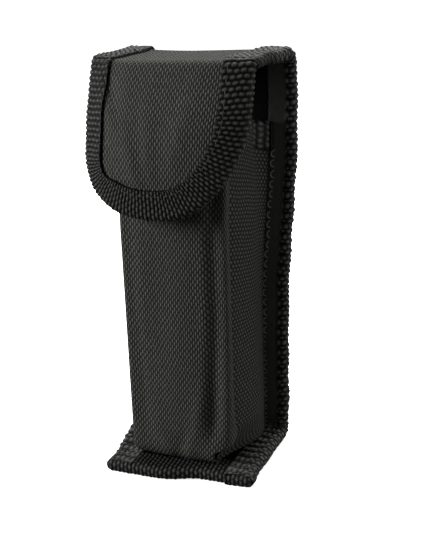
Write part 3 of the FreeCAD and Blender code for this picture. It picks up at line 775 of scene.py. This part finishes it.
for sign, side in ((1, "right"), (-1, "left")):
    onGusset, tall = gussetAt(sign), gusset["tall"]
    outerRows, innerRows = np.linspace(0, tall, 120), np.linspace(0.5, tall - 0.5, 120)
    outer = slab(f"{side}GussetCloth", onGusset, np.linspace(3.0, 44.0, 50), outerRows,
                 *gusset["shell"], sideCloth, uvTurn=True)
    inner = slab(f"{side}GussetLining", onGusset, np.linspace(3.3, 42.0, 40), innerRows,
                 *gusset["lining"], liningCloth, uvTurn=True)
    finishPiece(outer, [f"gusset_{side}_shell"], body="pouch")
    finishPiece(inner, [f"gusset_{side}_lining"], body="pouch")
print("front panel and gussets made")

mouth = dict(thick=3.2, leg=9.6, ribHeight=0.42, sidePitch=3.6, frontPitch=1.6,
             over=1.15, above=0.8, lean=0.14)        # how far it stands over the cloth, outward and up


def mouthLine():
    # round the mouth from the right seam, over the front, to the left seam, as (x, depth)
    half = panel["half"]
    right = [(24.2, 4.6), (22.6, 4.7)]
    right += [(half + float(sideFlare(d, 121.0)), d) for d in np.arange(5.2, 36.0, 1.0)]
    right += [(half, 37.6), (half - 0.8, 38.4)]
    front = [(x, 38.7) for x in np.arange(16.5, -16.6, -1.0)]
    return smoothLine(np.array(right + front + [(-x, d) for x, d in reversed(right)], float), 0.22, wide=3)


mouthS, mouthPts = mouthLine()
mouthIn = inwardOf(mouthPts, (0, 15))
mouthTop = mouthHeight(mouthPts[:, 1]) + mouth["above"]
mouthLean = mouth["lean"] * smooth(mouthPts[:, 1], 20, 38)
mouthPitch = np.where(mouthPts[:, 1] < 35, mouth["sidePitch"], mouth["frontPitch"])


def onMouth(i, q, n):
    away = n - mouth["over"]
    x = mouthPts[i, 0] + mouthIn[i, 0] * away
    d = mouthPts[i, 1] + mouthIn[i, 1] * away + mouthLean[i] * q
    return np.stack([x, backY - d, mouthTop[i] - q + 0 * x], -1)


finishPiece(tape("mouthBinding", onMouth, mouthS, mouth["thick"], paintedShadeTape, lambda s: mouthPitch,
                 leg=mouth["leg"], height=mouth["ribHeight"]),
            ["mouth_binding_front", "mouth_binding_left", "mouth_binding_right"],
            body="pouch")
print("mouth binding made")


def threads(name, runs, radius, material, sides):
    # each run is a short piece of thread through a few points
    curve = bpy.data.curves.new(name, "CURVE")
    curve.dimensions = "3D"
    curve.bevel_depth = radius * mm
    curve.bevel_resolution = sides
    curve.resolution_u = 3
    curve.use_fill_caps = True
    for run in runs:
        line = curve.splines.new("NURBS")
        line.points.add(len(run) - 1)
        for point, place in zip(line.points, run):
            point.co = (*(c * mm for c in place), 1)
        line.order_u = min(4, len(run))
        line.use_endpoint_u = True
    holder = bpy.data.objects.new(name + "Line", curve)
    bpy.context.scene.collection.objects.link(holder)
    mesh = bpy.data.meshes.new_from_object(holder.evaluated_get(bpy.context.evaluated_depsgraph_get()))
    bpy.data.objects.remove(holder)
    mesh.shade_smooth()
    obj = bpy.data.objects.new(name, mesh)
    bpy.context.scene.collection.objects.link(obj)
    obj.data.materials.clear()
    obj.data.materials.append(material)
    return obj


seam = dict(inset=8.7, start=8.6, pitch=3.8, count=29, radius=0.38, reach=0.62, rise=1.3,
            above=0.35, below=-0.25)
shaping = random.Random(5)
for sign, side in ((1, "right"), (-1, "left")):
    runs = []
    for k in range(seam["count"]):
        s = baseEnd + seam["start"] + k * seam["pitch"] + shaping.uniform(-0.15, 0.15)
        x = halfWidth(s) - seam["inset"] + shaping.uniform(-0.2, 0.2)
        bow, tall = seam["reach"] * shaping.uniform(0.8, 1.2), seam["rise"]
        for face, lift in ((strip["seamFace"] + seam["above"], 0.3), (seam["below"], -0.3)):
            stitch = [(x + bow, -tall, -lift), (x - bow * 0.3, -tall * 0.9, lift), (x - bow, 0, lift * 1.3),
                      (x - bow * 0.3, tall * 0.9, lift), (x + bow, tall, -lift)]
            runs.append([onStrip(sign * a, s + b, face + c) for a, b, c in stitch])
    finishPiece(threads(f"{side}SeamThread", runs, seam["radius"], blackThread, 1),
                [f"seam_stitching_{side}"], body="pouch")

flapSeam = dict(inset=8.3, start=2.0, pitch=3.8, length=2.8, radius=0.17, sink=0.12, bow=0.22,
                stitch=((0, -0.5), (0.25, 0.8), (0.5, 1.0), (0.75, 0.8), (1, -0.5)))        # along it, and up
runs = []
sink, bow = flapSeam["sink"], flapSeam["bow"]
for t in np.arange(flapSeam["start"], flapS[-1] - 2.6, flapSeam["pitch"]):
    for face, lift in ((-sink, -bow), (strip["plainFace"] + sink, bow)):
        run = []
        for share, up in flapSeam["stitch"]:
            i = min(int((t + share * flapSeam["length"]) / flapS[1]), len(flapS) - 1)
            run.append(onStrip(*(flapLine[i] + flapIn[i] * flapSeam["inset"]), face + lift * up))
        runs.append(run)
finishPiece(threads("flapThread", runs, flapSeam["radius"], paintedShadeThread, 1),
            [], joint="flap_unfold")
print("threads made")


beltLoop = dict(
    half=18.0, thick=1.5, middle=0.7, rib=0.14, ribPitch=1.9, bead=1.1,
    # side line as (depth, height, corner radius), sewn flat at its two ends
    line=[(0.3, 40, 0), (0.3, 52, 3), (-4.4, 58.5, 4), (-4.4, 106.5, 4), (0.3, 113, 3), (0.3, 125, 0)],
)
loopS, loopPts = roundedLine(beltLoop["line"], 0.4)


def onLoop(x, v, n):
    d, z = (np.interp(v, loopS, loopPts[:, k]) for k in (0, 1))
    turn = v / beltLoop["ribPitch"]
    bead = np.abs(np.cos(math.pi * (x / beltLoop["bead"] + 0.5 * np.floor(turn))))
    rib = beltLoop["rib"] * np.abs(np.sin(math.pi * turn)) * bead
    out = n + rib * np.sign(n - beltLoop["middle"])
    return np.stack([x * (1 + 0.004 * np.sin(v * 0.2)), backY - d + out, z + 0 * n], -1)


loopTurn = math.pi / 2 * 0.94        # columns crowd towards the loop's two edges
loopX = beltLoop["half"] * np.sin(np.linspace(-1, 1, 121) * loopTurn) / math.sin(loopTurn)
finishPiece(slab("beltLoop", onLoop, loopX, np.arange(0, loopS[-1], 0.3), beltLoop["thick"], 0.0,
                 webbingCloth, rim=-0.5),
            ["belt_loop"], body="pouch")

bar = dict(half=16.0, pitch=3.5, count=9, inset=3.0, sewn=12.0, length=2.8, radius=0.3, sink=0.25, loose=0.1,
           ends=dict(lower=40.0, upper=113.0),
           stitch=((0, -0.4), (0.25, 0.25), (0.5, 0.35), (0.75, 0.25), (1, -0.4)))        # along it, and out
for end, level in bar["ends"].items():
    runs = []
    for row in (bar["inset"], bar["sewn"] - bar["inset"]):
        for k in range(bar["count"]):
            x = -bar["half"] + k * bar["pitch"] + shaping.uniform(-bar["loose"], bar["loose"])
            runs.append([(x + bar["length"] * t, backY + beltLoop["thick"] - bar["sink"] + lift,
                          level + row + shaping.uniform(-bar["loose"], bar["loose"]))
                         for t, lift in bar["stitch"]])
    finishPiece(threads(f"{end}LoopThread", runs, bar["radius"], blackThread, 1),
                [f"belt_loop_stitching_{end}"], body="pouch")

patch = dict(
    half=11.0, low=109.5, high=124.0, pitch=1.15, hookBase=(2.8, 3.3), loopBase=(-0.6, -0.05),
    hookRadius=0.11, pileRadius=0.07, loopsEach=3,
    hook=((0, 3.2), (0, 3.8), (0.1, 4.2), (0.4, 4.25), (0.5, 3.95)),        # along x, and inward
    loop=((-0.6, -0.5), (-1, -1.0), (0, -1.45), (1, -1.0), (0.6, -0.5)),
)
highS, lowS = (sAtHeight(patch[end]) for end in ("high", "low"))
highV, lowV = (float(np.interp(-patch[end], -frontPts[:, 1], frontS)) for end in ("high", "low"))
across = np.linspace(-patch["half"], patch["half"], 40)
hookBase = slab("hookBase", onStrip, across, np.linspace(highS, lowS, 30), *patch["hookBase"], hookPlastic)
loopBase = slab("loopBase", frontAt, across, np.linspace(highV, lowV, 30), *patch["loopBase"], loopPile)
hooks, pile = [], []
for x in np.arange(-patch["half"] + 0.8, patch["half"] - 0.5, patch["pitch"]):
    for t in np.arange(0.06, 0.97, patch["pitch"] / (patch["high"] - patch["low"])):
        s = highS + (lowS - highS) * t
        hooks.append([onStrip(x + a, s, n) for a, n in patch["hook"]])
        for again in range(patch["loopsEach"]):
            v = highV + (lowV - highV) * t + shaping.uniform(-0.5, 0.5)
            px = x + shaping.uniform(-0.5, 0.5)
            turnBy, wide = shaping.uniform(0, 3.1), shaping.uniform(0.3, 0.6)
            pile.append([frontAt(px + wide * k * math.cos(turnBy), v + wide * k * math.sin(turnBy), n)
                         for k, n in patch["loop"]])
finishPiece(hookBase, ["hook_patch"], body="flap")
finishPiece(threads("hookPile", hooks, patch["hookRadius"], hookPlastic, 0), [], body="flap")
finishPiece(loopBase, ["loop_patch"], body="pouch")
finishPiece(threads("loopPile", pile, patch["pileRadius"], loopPile, 0), [], body="pouch")
print("belt loop and fastener patches made")


# from here on, sizes are in metres
view = dict(eye=(0.13873, -0.31579, 0.18628), azimuth=22.5, down=18.233, roll=-2.147, lens=67.06)
a, e, r = (math.radians(view[k]) for k in ("azimuth", "down", "roll"))
back = Vector((math.sin(a) * math.cos(e), -math.cos(a) * math.cos(e), math.sin(e)))
right = Vector((math.cos(a), math.sin(a), 0))
up = back.cross(right)
camX = right * math.cos(r) + up * math.sin(r)
camY = up * math.cos(r) - right * math.sin(r)
cam = bpy.data.objects.new("camera", bpy.data.cameras.new("camera"))
cam.data.lens = view["lens"]
cam.data.sensor_width = 36
cam.data.clip_start = 0.01
cam.matrix_world = Matrix.Translation(view["eye"]) @ Matrix((camX, camY, back)).transposed().to_4x4()
bpy.context.scene.collection.objects.link(cam)
bpy.context.scene.camera = cam

studio = dict(world=0.19, floorGlow=0.85, floorHalf=3.0, aim=(0, 0, 0.08))
floorMesh = bpy.data.meshes.new("floor")
h = studio["floorHalf"]
level = float(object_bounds()[0][2])        # the floor touches the lowest rib
floorMesh.from_pydata([(-h, -h, level), (h, -h, level), (h, h, level), (-h, h, level)], [], [(0, 1, 2, 3)])
floor = bpy.data.objects.new("floor", floorMesh)
bpy.context.scene.collection.objects.link(floor)
floorPaint, tree, shader = newFinish("floorPaint")
shader.inputs["Base Color"].default_value = (0.95, 0.95, 0.95, 1)
shader.inputs["Roughness"].default_value = 0.9
shader.inputs["Emission Color"].default_value = (1, 1, 1, 1)
shader.inputs["Emission Strength"].default_value = studio["floorGlow"]
floorMesh.materials.append(floorPaint)
floor.visible_diffuse = floor.visible_glossy = False        # its glare would wash out the black cloth

world = bpy.data.worlds.new("studio")
world.use_nodes = True
sky = world.node_tree.nodes["Background"]
calc = partial(mathNode, world.node_tree)
seen = world.node_tree.nodes.new("ShaderNodeLightPath").outputs["Is Camera Ray"]
brightness = calc("ADD", calc("MULTIPLY", seen, 1.0 - studio["world"]), studio["world"])
sky.inputs[0].default_value = (1, 1, 1, 1)
world.node_tree.links.new(brightness, sky.inputs[1])
bpy.context.scene.world = world
bpy.context.scene.view_settings.view_transform = "Standard"

lamps = dict(        # place, width, power
    key=((-0.80, -0.53, 0.42), 0.45, 14.8),
    side=((0.85, 0.25, 0.25), 0.5, 4.0),
    top=((0.0, 0.42, 0.85), 0.5, 13.0),
)
for lampName, (place, width, power) in lamps.items():
    lamp = bpy.data.objects.new(lampName, bpy.data.lights.new(lampName, "AREA"))
    lamp.data.size = width
    lamp.data.energy = power
    lamp.location = place
    lamp.rotation_euler = (Vector(place) - Vector(studio["aim"])).to_track_quat("Z", "Y").to_euler()
    bpy.context.scene.collection.objects.link(lamp)
print("camera, floor and light made")

slotFinishes = dict(        # what CAD pieces still show takes a real finish
    pouch_cloth=pouchCloth, lining_cloth=liningCloth, stiffener_board=boardPlastic, binding_tape=bindingTape,
    sewing_thread=blackThread, panel_foam=panelFoam, loop_fastener=loopPile, hook_fastener=hookPlastic,
    belt_webbing=webbingCloth,
)
for part in frame["record"]["subparts"]:
    node = frame["nodes"][part["node"]]
    node.data.materials.clear()
    node.data.materials.append(slotFinishes[part["material_slot"]])
